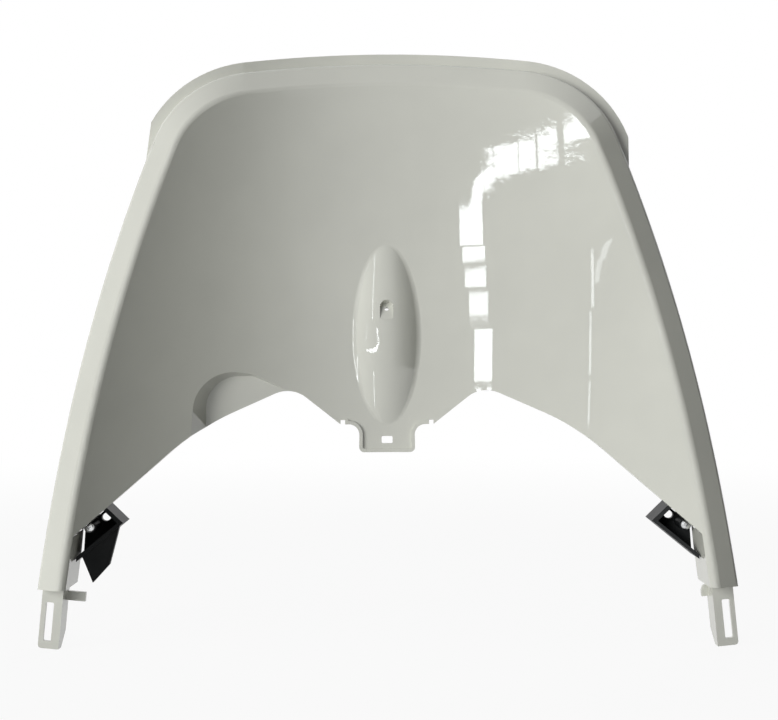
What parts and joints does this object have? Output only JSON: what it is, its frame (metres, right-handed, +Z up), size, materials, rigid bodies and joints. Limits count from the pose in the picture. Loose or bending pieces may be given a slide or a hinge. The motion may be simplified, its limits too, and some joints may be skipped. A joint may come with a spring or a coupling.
{
  "type": "scooter lower front panel",
  "caption": "Dished inner body panel with a raised border, a long middle bump with a screw dimple, arched lower edge, slotted tab and two legs ending in slotted tongues, with black corner trays",
  "frame": {"origin": "the mouth of the screw hole, on the floor of the dimple in the middle bump", "axes": "X to the right seen from the front, across the panel's longest side; Y away from the viewer, into the scooter's body; Z up"},
  "size_m": [0.469, 0.1349, 0.4256],
  "materials": {
    "ivory_gloss": "ivory white lacquer on a moulded panel, high gloss",
    "black_moulding": "black moulded plastic, satin",
    "plated_screw": "bright zinc plate"
  },
  "bodies": {
    "root": {"front_panel": "ivory_gloss", "left_tray": "black_moulding", "right_tray": "black_moulding", "left_tray_screw": "plated_screw", "right_tray_screw": "plated_screw"}
  },
  "joints": []
}
